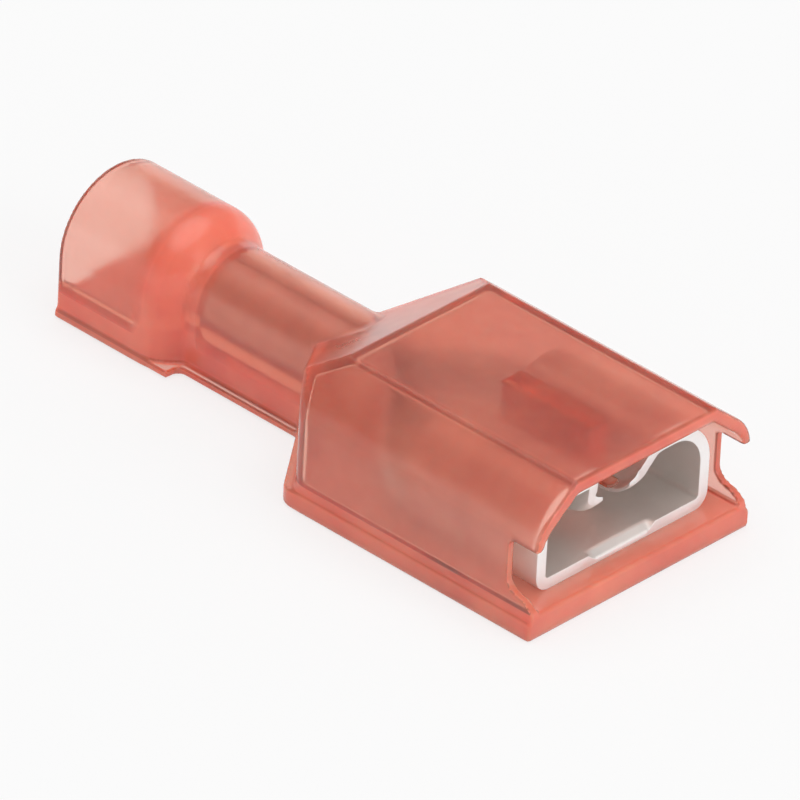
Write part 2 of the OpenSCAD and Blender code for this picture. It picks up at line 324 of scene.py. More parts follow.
class DistanceFunction:
    """A callable from points in millimetres to signed distances."""

    def __call__(self, points: Array) -> Array:
        """Signed distances of points, negative inside."""
        raise NotImplementedError

    def walls(self, points: Array) -> Array:
        """Signed distances of points from the plain walls, by which their depth is measured."""
        return self(points)


# ---- finishes ----


@dataclass
class Nodes:
    """Short-hand for building one material's node tree."""

    material: bpy.types.Material

    @classmethod
    def start(cls, name: str) -> "Nodes":
        """Starts an empty material.

        Args:
            name: Name of the material.

        Returns:
            The short-hand for its nodes.
        """
        material = bpy.data.materials.new(name)
        material.use_nodes = True
        material.node_tree.nodes.clear()
        return cls(material)

    def add(self, kind: str, **values: object) -> bpy.types.Node:
        """Adds a node.

        Args:
            kind: Blender's name of the node type.
            **values: Input values by socket name with underscores, or properties of the node.

        Returns:
            The new node.
        """
        node = self.material.node_tree.nodes.new(kind)
        for key, value in values.items():
            socket = key.replace("_", " ")
            if socket in node.inputs:
                node.inputs[socket].default_value = value
            else:
                setattr(node, key, value)
        return node

    def link(self, source: bpy.types.NodeSocket, target: bpy.types.NodeSocket) -> None:
        """Joins two sockets."""
        self.material.node_tree.links.new(source, target)

    def noise(self, scale: float, detail: float = 3.0) -> bpy.types.Node:
        """Adds noise in the piece's own space.

        Args:
            scale: Cycles of the noise in each metre.
            detail: Finer layers of the noise.

        Returns:
            The noise node.
        """
        place = self.add("ShaderNodeTexCoord")
        noise = self.add("ShaderNodeTexNoise", Scale=scale, Detail=detail)
        self.link(place.outputs["Object"], noise.inputs["Vector"])
        return noise

    def ramp(self, source: bpy.types.NodeSocket, low: float, high: float) -> bpy.types.NodeSocket:
        """Stretches a value that runs from about 0.3 to 0.7 over a wanted range.

        Args:
            source: The value.
            low: Lowest wanted value.
            high: Highest wanted value.

        Returns:
            The stretched value's socket.
        """
        node = self.add("ShaderNodeMapRange", From_Min=0.3, From_Max=0.7, To_Min=low, To_Max=high)
        self.link(source, node.inputs["Value"])
        return node.outputs["Result"]

    def mix(self, share: bpy.types.NodeSocket, first: tuple, second: tuple) -> bpy.types.NodeSocket:
        """Mixes two colours by a share.

        Args:
            share: Share of the second colour.
            first: First colour, red green blue.
            second: Second colour.

        Returns:
            The mixed colour's socket.
        """
        node = self.add("ShaderNodeMix", data_type="RGBA")
        self.link(share, node.inputs["Factor"])
        node.inputs[6].default_value = (*first, 1.0)
        node.inputs[7].default_value = (*second, 1.0)
        return node.outputs[2]

    def bump(self, height: bpy.types.NodeSocket, distance: float) -> bpy.types.NodeSocket:
        """Turns a height into a bumped normal.

        Args:
            height: The height value.
            distance: Depth of the bump in metres.

        Returns:
            The normal's socket.
        """
        node = self.add("ShaderNodeBump", Distance=distance, Strength=1.0)
        self.link(height, node.inputs["Height"])
        return node.outputs["Normal"]


@dataclass(frozen=True)
class MouldedNylon:
    """Cloudy red nylon: thin walls let most of the light through and thick ones scatter it."""

    clear: tuple[float, float, float] = (0.99, 0.80, 0.74)
    body: tuple[float, float, float] = (0.97, 0.18, 0.13)
    body_warm: tuple[float, float, float] = (0.98, 0.26, 0.17)
    roughness: float = 0.2
    index: float = 1.53
    thin: float = 0.35
    thick: float = 1.1
    thin_cloud: float = 0.3
    thick_cloud: float = 0.8
    absorption: tuple[float, float, float] = (0.97, 0.45, 0.20)
    absorption_density: float = 900.0
    cloud_scale: float = 260.0
    ripple_scale: float = 900.0
    ripple_depth: float = 0.00001
    scatter_scale: float = 0.0012
    scatter_radius: tuple[float, float, float] = (1.0, 0.35, 0.25)
    wall_attribute: str = "wall_depth"

    def material(self) -> bpy.types.Material:
        """Builds the nylon's material.

        Returns:
            The material.
        """
        n = Nodes.start("moulded_nylon")
        cloud = n.noise(self.cloud_scale)
        ripple = n.noise(self.ripple_scale, 2.0)
        rough = n.ramp(ripple.outputs["Fac"], self.roughness * 0.85, self.roughness * 1.15)
        rippled = n.bump(ripple.outputs["Fac"], self.ripple_depth)
        clear = n.add("ShaderNodeBsdfPrincipled", IOR=self.index, Transmission_Weight=1.0)
        clear.inputs["Base Color"].default_value = (*self.clear, 1.0)
        milky = n.add("ShaderNodeBsdfPrincipled", IOR=self.index, Subsurface_Weight=1.0,
                      Subsurface_Scale=self.scatter_scale)
        milky.inputs["Subsurface Radius"].default_value = self.scatter_radius
        n.link(n.mix(n.ramp(cloud.outputs["Fac"], 0.0, 1.0), self.body, self.body_warm),
               milky.inputs["Base Color"])
        for shader in (clear, milky):
            n.link(rough, shader.inputs["Roughness"])
            n.link(rippled, shader.inputs["Normal"])
        mixed = n.add("ShaderNodeMixShader")
        n.link(self._cloudiness(n, cloud.outputs["Fac"]), mixed.inputs[0])
        n.link(clear.outputs[0], mixed.inputs[1])
        n.link(milky.outputs[0], mixed.inputs[2])
        inside = n.add("ShaderNodeVolumeAbsorption", Density=self.absorption_density)
        inside.inputs["Color"].default_value = (*self.absorption, 1.0)
        out = n.add("ShaderNodeOutputMaterial")
        n.link(mixed.outputs[0], out.inputs["Surface"])
        n.link(inside.outputs[0], out.inputs["Volume"])
        return n.material

    def _cloudiness(self, n: Nodes, cloud: bpy.types.NodeSocket) -> bpy.types.NodeSocket:
        """Share of the entering light that the nylon scatters, more in thick walls and cloudy patches.

        Args:
            n: The material's nodes.
            cloud: Noise that marks the cloudy patches.

        Returns:
            The share's socket.
        """
        wall = n.add("ShaderNodeAttribute", attribute_name=self.wall_attribute)
        depth = n.add("ShaderNodeMapRange", From_Min=self.thin, From_Max=self.thick,
                      To_Min=self.thin_cloud, To_Max=self.thick_cloud)
        n.link(wall.outputs["Fac"], depth.inputs["Value"])
        total = n.add("ShaderNodeMath", operation="ADD", use_clamp=True)
        n.link(depth.outputs["Result"], total.inputs[0])
        n.link(n.ramp(cloud, -0.1, 0.1), total.inputs[1])
        side = n.add("ShaderNodeNewGeometry")
        entering = n.add("ShaderNodeMath", operation="SUBTRACT")
        entering.inputs[0].default_value = 1.0
        n.link(side.outputs["Backfacing"], entering.inputs[1])
        share = n.add("ShaderNodeMath", operation="MULTIPLY")
        n.link(total.outputs[0], share.inputs[0])
        n.link(entering.outputs[0], share.inputs[1])
        return share.outputs[0]


class TinFace(Enum):
    """Which face of the stamped sheet a finish is for."""

    ROLLED = "rolled"
    CUT = "cut"


@dataclass(frozen=True)
class TinPlate:
    """Bright tin plating, smooth on the rolled faces and frosted on the cut ones."""

    face: TinFace
    colour: tuple[float, float, float] = (0.88, 0.85, 0.82)
    dull: tuple[float, float, float] = (0.80, 0.76, 0.72)
    roughness: float = 0.42
    metallic: float = 0.6
    grain_scale: float = 1400.0
    grain_depth: float = 0.000006

    def material(self) -> bpy.types.Material:
        """Builds the plating's material.

        Returns:
            The material.
        """
        n = Nodes.start(f"tin_plate_{self.face.value}")
        grain = n.noise(self.grain_scale)
        stain = n.noise(self.grain_scale / 4.0)
        surface = n.add("ShaderNodeBsdfPrincipled", Metallic=self.metallic)
        n.link(n.mix(n.ramp(stain.outputs["Fac"], 0.0, 1.0), self.colour, self.dull),
               surface.inputs["Base Color"])
        n.link(n.ramp(grain.outputs["Fac"], self.roughness * 0.8, self.roughness * 1.3),
               surface.inputs["Roughness"])
        n.link(n.bump(grain.outputs["Fac"], self.grain_depth), surface.inputs["Normal"])
        out = n.add("ShaderNodeOutputMaterial")
        n.link(surface.outputs[0], out.inputs["Surface"])
        return n.material


# ---- housing ----


@dataclass
class Housing(DistanceFunction):
    """The one-piece nylon moulding: box, mouth, neck and bell. Sizes are in millimetres."""

    top_length: float = 9.5
    box_length: float = 9.9
    shoulder_length: float = 2.35
    neck_length: float = 5.3
    bell_length: float = 4.85
    base_width: float = 9.7
    box_height: float = 4.95
    top_width: float = 6.12
    slant_foot: float = 3.6
    slant_round: float = 1.6
    crease_round: float = 0.25
    facet_angle: float = 30.5
    shoulder_round: float = 0.8
    side_wall: float = 0.3
    slant_wall: float = 0.42
    roof_wall: float = 0.45
    floor_thickness: float = 0.85
    ledge_height: float = 0.57
    ledge_width: float = 0.12
    shoulder_ledge: float = 0.4
    tail_ledge_height: float = 0.25
    neck_ledge: float = 0.25
    bell_ledge: float = 0.08
    ledge_fillet: float = 0.25
    tail_fillet: float = 0.16
    notch_depth: float = 1.15
    notch_top: float = 3.05
    notch_sill: float = 1.4
    sill_fall: float = 0.25
    notch_round: float = 0.35
    rib_width: float = 0.95
    rib_bottom: float = 2.85
    rib_setback: float = 2.0
    rib_length: float = 3.6
    tongue_length: float = 0.75
    tongue_thickness: float = 0.17
    neck_radius: float = 1.69
    bell_radius: float = 2.41
    bell_slope: float = 0.72
    bell_round: float = 1.2
    neck_round: float = 0.4
    bell_wall: float = 0.42
    entry_depth: float = 3.2
    throat_radius: float = 1.1
    throat_length: float = 1.3
    entry_round: float = 0.5
    barrel_inset: float = 0.35
    axis_height: float = 2.1
    bore_radius: float = 1.3
    funnel_radius: float = 0.9
    edge_round: float = 0.12
    rim_round: float = 0.08
    finish: MouldedNylon = field(default_factory=MouldedNylon)

    @property
    def front(self) -> float:
        """Station of the mouth."""
        return (self.box_length + self.shoulder_length + self.neck_length + self.bell_length) / 2.0

    @property
    def shoulder(self) -> float:
        """Station of the widest point of the shoulders."""
        return self.front - self.box_length

    @property
    def neck(self) -> float:
        """Station where the shoulders meet the neck."""
        return self.shoulder - self.shoulder_length

    @property
    def bell(self) -> float:
        """Station where the neck meets the bell's slope."""
        return self.neck - self.neck_length

    @property
    def rear(self) -> float:
        """Station of the bell's rim."""
        return self.bell - self.bell_length

    @property
    def side(self) -> float:
        """Half the width over the upright sides."""
        return self.base_width / 2.0 - self.ledge_width

    def __call__(self, points: Array) -> Array:
        """Distance to the housing.

        Args:
            points: Points in millimetres.

        Returns:
            Signed distances, negative inside the nylon.
        """
        x, y, z = points[:, 0], np.abs(points[:, 1]), points[:, 2]
        return either(self.walls(points), self.rib(x, y, z), self.rim_round)

    def walls(self, points: Array) -> Array:
        """Distance to the housing without the rib inside it.

        Args:
            points: Points in millimetres.

        Returns:
            The signed distances.
        """
        x, y, z = points[:, 0], np.abs(points[:, 1]), points[:, 2]
        shape = self.outside(x, y, z)
        for cut in (self.hollow(x, y, z), self.wire_entry(x, y, z), self.bore(x, y, z)):
            shape = without(shape, cut, self.rim_round)
        return without(shape, self.notch(x, z), self.rim_round)

    def outside(self, x: Array, y: Array, z: Array) -> Array:
        """Distance to the solid moulding before it is hollowed.

        Args:
            x: Stations along the part.
            y: Distances from the middle.
            z: Heights.

        Returns:
            The signed distances.
        """
        box = either(self.box(x, y, z), self.box_foot(x, y, z), self.ledge_fillet)
        tail = either(self.tail(x, y, z), self.tail_foot(x, y, z), self.tail_fillet)
        whole = either(box, tail, self.edge_round)
        whole = both(whole, np.maximum(x - self.front, self.rear - x), self.edge_round)
        whole = both(whole, y - self.base_width / 2.0, self.rim_round)
        return both(whole, -z, self.rim_round)

    def box(self, x: Array, y: Array, z: Array) -> Array:
        """Distance to the flat box with its slanted upper sides, back facet and shoulders.

        Args:
            x: Stations along the part.
            y: Distances from the middle.
            z: Heights.

        Returns:
            The signed distances.
        """
        slant = Slope((self.side, self.slant_foot), (self.top_width / 2.0, self.box_height))
        slant_y, slant_z = (-c for c in slant.normal)
        slanted = -slant.distance(y, z)
        upright = both(y - self.side, slanted, self.slant_round, slant_y)
        section = both(upright, z - self.box_height, self.crease_round, slant_z)
        angle = math.radians(self.facet_angle)
        facet_x = self.front - self.top_length
        facet = (z - self.box_height) * math.cos(angle) - (x - facet_x) * math.sin(angle)
        taper = Slope((self.neck, self.neck_radius), (self.shoulder, self.side))
        plan = both(y - self.side, taper.distance(x, y), self.shoulder_round, taper.normal[1])
        topped = both(section, facet, self.edge_round, math.cos(angle))
        return both(topped, plan, self.edge_round)

    def tail(self, x: Array, y: Array, z: Array) -> Array:
        """Distance to the arched neck, its slope and the bell.

        Args:
            x: Stations along the part.
            y: Distances from the middle.
            z: Heights.

        Returns:
            The signed distances.
        """
        arch = np.hypot(y, np.maximum(z - self.axis_height, 0.0))
        slope = Slope((self.bell - self.bell_slope, self.bell_radius), (self.bell, self.neck_radius))
        cone = slope.distance(x, arch)
        bell = both(arch - self.bell_radius, cone, self.bell_round, slope.normal[1])
        neck = both(arch - self.neck_radius, x - self.shoulder)
        return either(neck, bell, self.neck_round, slope.normal[1])

    def box_foot(self, x: Array, y: Array, z: Array) -> Array:
        """Distance to the base plate's ledge round the box.

        Args:
            x: Stations along the part.
            y: Distances from the middle.
            z: Heights.

        Returns:
            The signed distances.
        """
        side = self.base_width / 2.0
        taper = Slope((self.neck - self.shoulder_ledge, self.neck_radius),
                      (self.shoulder - self.shoulder_ledge, side))
        plan = both(y - side, taper.distance(x, y), self.shoulder_round, taper.normal[1])
        return both(plan, z - self.ledge_height, self.rim_round)

    def tail_foot(self, x: Array, y: Array, z: Array) -> Array:
        """Distance to the thin ledge under the neck and the bell.

        Args:
            x: Stations along the part.
            y: Distances from the middle.
            z: Heights.

        Returns:
            The signed distances.
        """
        neck = both(y - self.neck_radius - self.neck_ledge, x - self.shoulder)
        bell = both(y - self.bell_radius - self.bell_ledge, x - self.bell, self.edge_round)
        plan = either(neck, bell, self.neck_ledge)
        return both(plan, z - self.tail_ledge_height, self.rim_round)

    def hollow(self, x: Array, y: Array, z: Array) -> Array:
        """Distance to the room for the receptacle and the tab.

        Args:
            x: Stations along the part.
            y: Distances from the middle.
            z: Heights.

        Returns:
            The signed distances.
        """
        cavity = self.side - self.side_wall
        slant = Slope((self.side, self.slant_foot), (self.top_width / 2.0, self.box_height))
        slant_y, slant_z = (-c for c in slant.normal)
        slanted = -slant.distance(y, z) + self.slant_wall
        upright = both(y - cavity, slanted, self.slant_round - self.side_wall, slant_y)
        section = both(upright, z - self.box_height + self.roof_wall, self.crease_round, slant_z)
        section = both(section, self.floor_thickness - z, self.side_wall / 2.0)
        angle = math.radians(self.facet_angle)
        facet_x = self.front - self.top_length
        facet = (z - self.box_height) * math.cos(angle) - (x - facet_x) * math.sin(angle)
        taper = Slope((self.neck + self.shoulder_length / 4.0, self.bore_radius),
                      (self.shoulder + self.side_wall / 2.0, cavity))
        plan = both(y - cavity, taper.distance(x, y), self.shoulder_round / 2.0, taper.normal[1])
        return both(both(section, facet + self.roof_wall, self.rim_round), plan, self.rim_round)

    def wire_entry(self, x: Array, y: Array, z: Array) -> Array:
        """Distance to the bell's arched chamber and the funnel that narrows it to the barrel.

        Args:
            x: Stations along the part.
            y: Distances from the middle.
            z: Heights.

        Returns:
            The signed distances.
        """
        width = self.bell_radius - self.bell_wall
        arch = np.hypot(y, np.maximum(z - self.axis_height, 0.0)) - width
        chamber = both(arch, self.floor_thickness - z, self.entry_round)
        around = np.hypot(y, z - self.axis_height)
        end = self.bell + self.barrel_inset
        throat = end - self.throat_length
        step = Slope((self.rear + self.entry_depth, width), (throat, self.throat_radius))
        taper = Slope((throat, self.throat_radius), (end, self.funnel_radius))
        funnel = either(step.distance(x, around), taper.distance(x, around), self.rim_round)
        return both(both(chamber, funnel, self.rim_round), x - end)

    def bore(self, x: Array, y: Array, z: Array) -> Array:
        """Distance to the neck's round bore for the barrel, and its throat.

        Args:
            x: Stations along the part.
            y: Distances from the middle.
            z: Heights.

        Returns:
            The signed distances.
        """
        around = np.hypot(y, z - self.axis_height)
        start = self.bell + self.barrel_inset
        wide = both(around - self.bore_radius, np.maximum(start - x, x - self.shoulder))
        throat = both(around - self.funnel_radius, np.abs(x - start) - 0.2)
        return either(wide, throat)

    def notch(self, x: Array, z: Array) -> Array:
        """Distance to the open notch between the lip and the base plate.

        Args:
            x: Stations along the part.
            z: Heights.

        Returns:
            The signed distances.
        """
        back = self.front - self.notch_depth - x
        sill = Slope((self.front - self.sill_fall, self.notch_sill - self.sill_fall),
                     (self.front - self.notch_depth, self.notch_sill))
        step = Slope((self.front, self.floor_thickness),
                     (self.front - self.sill_fall, self.notch_sill - self.sill_fall))
        above = either(sill.distance(x, z), step.distance(x, z), self.notch_round / 2.0)
        above = both(above, back, self.notch_round)
        above = np.maximum(above, self.floor_thickness - z)
        return both(above, z - self.notch_top, self.notch_round / 2.0)

    def rib(self, x: Array, y: Array, z: Array) -> Array:
        """Distance to the rib between the rolled edges and the thin tongue at its front.

        Args:
            x: Stations along the part.
            y: Distances from the middle.
            z: Heights.

        Returns:
            The signed distances.
        """
        half = self.rib_width / 2.0
        hanging = np.hypot(y, np.minimum(z - self.rib_bottom - half, 0.0)) - half
        end = self.front - self.rib_setback
        run = both(hanging, np.maximum(x - end, end - self.rib_length - x), self.rim_round)
        tip = np.maximum(x - end - self.tongue_length, end - self.rim_round - x)
        tongue = both(both(hanging, z - self.rib_bottom - self.tongue_thickness, self.rim_round), tip,
                      self.rim_round)
        return both(either(run, tongue, self.rim_round), z - self.box_height + self.roof_wall / 2.0)

    def build(self) -> bpy.types.Object:
        """Builds and dresses the housing.

        Returns:
            The piece.
        """
        piece = new_object("moulded_housing", Skin().mesh("moulded_housing", self))
        piece.data.materials.append(self.finish.material())
        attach(piece, "root")
        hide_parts("housing")
        return piece


# ---- receptacle ----


@dataclass
class Receptacle:
    """The one stamped sheet: rolled edges, trough and crimp barrel. Sizes are in millimetres."""

    sheet: float = 0.4
    front: float = 10.4
    half_width: float = 3.745
    floor: float = 0.85
    roll_height: float = 3.26
    floor_bend: float = 0.55
    roll_length: float = 5.4
    tip_half_gap: float = 0.6
    tip_run: float = 0.45
    tip_rise: float = 0.05
    tip_bend: float = 0.3
    tip_taper: float = 0.5
    tip_edge: float = 0.3
    arm_run: float = 0.35
    arm_bend: float = 0.4
    curl_bend: float = 1.4
    grip: float = 0.8
    flare_rise: float = 0.6
    flare_length: float = 1.5
    tip_setback: float = 0.35
    dimple_height: float = 0.2
    dimple_radius: float = 0.75
    dimple_setback: float = 3.4
    coin_depth: float = 0.22
    coin_half_width: float = 1.45
    coin_length: float = 0.26
    coin_end: float = 0.25
    barrel_bore: float = 0.85
    barrel_rear: float = -6.0
    barrel_front: float = 0.8
    seam_half_width: float = 0.04
    embed: float = 0.01
    axis_height: float = 2.1
    low_gap: float = 130.0
    wall_gap: float = 95.0
    closed_gap: float = 12.0
    trough_squareness: float = 0.35
    edge_round: float = 0.045
    points_across: int = 121
    flare_steps: int = 24
    rolled: TinPlate = field(default_factory=lambda: TinPlate(TinFace.ROLLED))
    cut: TinPlate = field(default_factory=lambda: TinPlate(
        TinFace.CUT, (0.93, 0.92, 0.91), (0.86, 0.85, 0.84), 0.55))

    def build(self) -> bpy.types.Object:
        """Builds and dresses the receptacle.

        Returns:
            The piece.
        """
        body = self._sheet_object("rolled_body", *self._rolled_rows())
        tail = self._sheet_object("trough_and_barrel", *self._trough_rows())
        with bpy.context.temp_override(active_object=body, selected_editable_objects=[body, tail]):
            bpy.ops.object.join()
        body.name = "rolled_receptacle"
        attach(body, "root")
        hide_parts("receptacle")
        return body

    @property
    def roof_start(self) -> float:
        """Distance from the middle at which the hanging arm meets the top."""
        return self.tip_half_gap + self.tip_run + self.arm_run

    def _rolled_edge(self, opening: float) -> list[tuple[float, float, float]]:
        """Corners of half the rolled section, as distance from the middle, height and bend radius.

        Args:
            opening: 0 where the edges grip the tab and 1 at the flared front.

        Returns:
            The corners, from the tip over the curl and down to the middle of the floor.
        """
        low = self.floor + self.sheet + self.grip + self.sheet / 2.0 + opening * self.flare_rise
        wall = self.half_width - self.sheet / 2.0
        roof = self.floor + self.roll_height - self.sheet / 2.0
        base = self.floor + self.sheet / 2.0
        return [
            (self.tip_half_gap, low + self.tip_rise, 0.0),
            (self.tip_half_gap + self.tip_run, low, self.tip_bend),
            (self.roof_start, roof, self.arm_bend),
            (wall, roof, self.curl_bend),
            (wall, base, self.floor_bend - self.sheet / 2.0),
            (0.0, base, 0.0),
        ]

    @staticmethod
    def _bent(corners: list[tuple[float, float, float]], facets: int = 24) -> Array:
        """Points of an open path whose corners are bent to their radii.

        Args:
            corners: Corners as two coordinates and a bend radius.
            facets: Steps in each bend.

        Returns:
            The path's points.
        """
        points = [np.array(corners[0][:2])]
        for before, corner, after in zip(corners, corners[1:], corners[2:]):
            here = np.array(corner[:2])
            to_a, to_b = np.array(before[:2]) - here, np.array(after[:2]) - here
            to_a, to_b = to_a / np.linalg.norm(to_a), to_b / np.linalg.norm(to_b)
            half = math.acos(float(to_a @ to_b)) / 2.0
            middle = to_a + to_b
            centre = here + middle / np.linalg.norm(middle) * corner[2] / math.sin(half)
            first = here + to_a * corner[2] / math.tan(half) - centre
            last = here + to_b * corner[2] / math.tan(half) - centre
            start = math.atan2(first[1], first[0])
            sweep = (math.atan2(last[1], last[0]) - start + math.pi) % (2.0 * math.pi) - math.pi
            for k in range(facets + 1):
                angle = start + sweep * k / facets
                points.append(centre + corner[2] * np.array([math.cos(angle), math.sin(angle)]))
        points.append(np.array(corners[-1][:2]))
        return np.array(points)

    @staticmethod
    def _spread(path: Array, count: int) -> Array:
        """Points spaced evenly along a path.

        Args:
            path: The path's points.
            count: Wanted number of points.

        Returns:
            The evenly spaced points.
        """
        run = np.concatenate([[0.0], np.cumsum(np.linalg.norm(np.diff(path, axis=0), axis=1))])
        wanted = np.linspace(0.0, run[-1], count)
        return np.stack([np.interp(wanted, run, path[:, k]) for k in range(path.shape[1])], axis=1)

    def _rolled_rows(self) -> tuple[Array, Array, Array]:
        """Middle line of the rolled body at each station, and how thick its two skins are there.

        Returns:
            The rows of points, and the distances from them out to the lower and the upper skin.
        """
        flare = [self.front - self.flare_length * k / self.flare_steps
                 for k in range(self.flare_steps + 1)]
        stations = flare + list(np.linspace(flare[-1], self.front - self.roll_length, 26)[1:])
        rows, outer = [], []
        for x in stations:
            opening = max(0.0, 1.0 - (self.front - x) / self.flare_length) ** 2
            half = self._spread(self._bent(self._rolled_edge(opening)), self.points_across)
            wall = self.half_width - self.sheet / 2.0
            roof = self.floor + self.roll_height - self.sheet / 2.0
            hangs = (half[:, 0] < self.roof_start + self.arm_bend) & (half[:, 1] > self.axis_height)
            share = np.clip((roof - half[:, 1]) / (roof - half[0, 1]), 0.0, 1.0) * hangs
            right = np.column_stack([x - opening * self.tip_setback * share, half])
            left = right[-2::-1] * np.array([1.0, -1.0, 1.0])
            rows.append(np.concatenate([right, left]))
            run = np.concatenate([[0.0], np.cumsum(np.linalg.norm(np.diff(half, axis=0), axis=1))])
            thin = self.tip_edge + (1.0 - self.tip_edge) * np.clip(run / self.tip_taper, 0.0, 1.0)
            skin = self.sheet * (thin - 0.5)
            outer.append(np.concatenate([skin, skin[-2::-1]]))
        rows = np.array(rows)
        x, y, z = rows[..., 0], rows[..., 1], rows[..., 2]
        base = self.floor + self.sheet / 2.0
        on_floor = np.abs(z - base) < 0.01
        reach = np.hypot(x - self.front + self.dimple_setback, y) / self.dimple_radius
        rise = self.dimple_height * np.clip(1.0 - reach ** 2, 0.0, 1.0) * on_floor
        rows[..., 2] += rise
        coin = np.clip(1.0 - (self.front - x) / self.coin_length, 0.0, 1.0)
        coin *= np.clip((self.coin_half_width - np.abs(y)) / self.coin_end, 0.0, 1.0) * on_floor
        return rows, np.array(outer), self.sheet / 2.0 - self.coin_depth * coin

    def _trough_rows(self) -> tuple[Array, Array, Array]:
        """Middle line of the trough and the barrel at each station, and their two skins.

        Returns:
            The rows of points, and the distances from them out to the lower and the upper skin.
        """
        start = self.front - self.roll_length
        low_end, closed = start - self.sheet, self.barrel_front - self.sheet
        stations = np.concatenate([
            np.linspace(start + self.sheet, low_end, 5),
            np.linspace(low_end, closed, 30)[1:],
            np.linspace(closed, self.barrel_rear, 34)[1:],
        ])
        radius = self.barrel_bore + self.sheet / 2.0
        wall = self.half_width - self.sheet / 2.0 - self.embed
        rows, thickness = [], []
        for x in stations:
            t = min(1.0, max(0.0, (low_end - x) / (low_end - closed)))
            closing = t * t * (3.0 - 2.0 * t)
            folded = min(1.0, max(0.0, (start - x) / self.sheet))
            seam = math.degrees(self.seam_half_width / radius)
            past = min(1.0, max(0.0, (closed - x) / self.sheet))
            gap = (self.low_gap + (self.wall_gap - self.low_gap) * folded
                   + (self.closed_gap - self.wall_gap) * closing + (seam - self.closed_gap) * past)
            half = wall + (radius - wall) * closing
            squareness = self.trough_squareness + (1.0 - self.trough_squareness) * closing
            share = np.linspace(0.0, 1.0, self.points_across)
            angle = np.radians(90.0 + gap + (360.0 - 2.0 * gap) * share)
            c, s = np.cos(angle), np.sin(angle)
            row = np.column_stack([
                np.full(c.shape, x),
                half * np.sign(c) * np.abs(c) ** squareness,
                self.axis_height + radius * np.sign(s) * np.abs(s) ** squareness,
            ])
            rows.append(self._spread(row, self.points_across)[::-1])
            thickness.append(np.full(c.shape, self.sheet / 2.0 - self.embed * (1.0 - past)))
        return np.array(rows), np.array(thickness), np.array(thickness)

    def _sheet_object(self, name: str, rows: Array, lower: Array, upper: Array) -> bpy.types.Object:
        """Builds a bent sheet with rounded cut edges from its middle lines.

        Args:
            name: Name of the object.
            rows: Points of the middle line at each station.
            lower: Distance from each point out to the lower skin.
            upper: Distance from each point out to the upper skin.

        Returns:
            The object, with the rolled and the cut faces in their own finishes.
        """
        m, n = rows.shape[:2]
        along = np.gradient(rows[..., 1:], axis=1)
        along /= np.linalg.norm(along, axis=2)[..., None]
        out = np.stack([np.zeros((m, n)), along[..., 1], -along[..., 0]], axis=2)
        skins = np.concatenate([(rows + out * upper[..., None]).reshape(-1, 3),
                                (rows - out * lower[..., None]).reshape(-1, 3)])
        at = np.arange(2 * m * n).reshape(2, m, n)
        faces: list[Array] = []
        a, b = at[1], at[0]
        faces.append(np.stack([a[:-1, :-1], a[:-1, 1:], a[1:, 1:], a[1:, :-1]], axis=-1).reshape(-1, 4))
        faces.append(np.stack([b[:-1, :-1], b[1:, :-1], b[1:, 1:], b[:-1, 1:]], axis=-1).reshape(-1, 4))
        skin_faces = sum(len(f) for f in faces)
        faces.append(np.stack([a[:-1, 0], a[1:, 0], b[1:, 0], b[:-1, 0]], axis=-1))
        faces.append(np.stack([a[:-1, -1], b[:-1, -1], b[1:, -1], a[1:, -1]], axis=-1))
        faces.append(np.stack([a[0, :-1], b[0, :-1], b[0, 1:], a[0, 1:]], axis=-1))
        faces.append(np.stack([a[-1, :-1], a[-1, 1:], b[-1, 1:], b[-1, :-1]], axis=-1))
        mesh = bpy.data.meshes.new(name)
        mesh.from_pydata((skins * MM).tolist(), [], np.concatenate(faces).tolist())
        mesh.update()
        mesh.materials.append(self.rolled.material())
        mesh.materials.append(self.cut.material())
        index = np.ones(len(mesh.polygons), dtype=np.int32)
        index[:skin_faces] = 0
        mesh.polygons.foreach_set("material_index", index)
        piece = new_object(name, mesh)
        bevel = piece.modifiers.new("edge_round", "BEVEL")
        bevel.width = self.edge_round * MM
        bevel.segments = 3
        bevel.limit_method = "ANGLE"
        bevel.angle_limit = math.radians(50.0)
        bevel.material = 1
        apply_modifiers(piece)
        piece.data.shade_smooth()
        return piece


# ---- studio ----


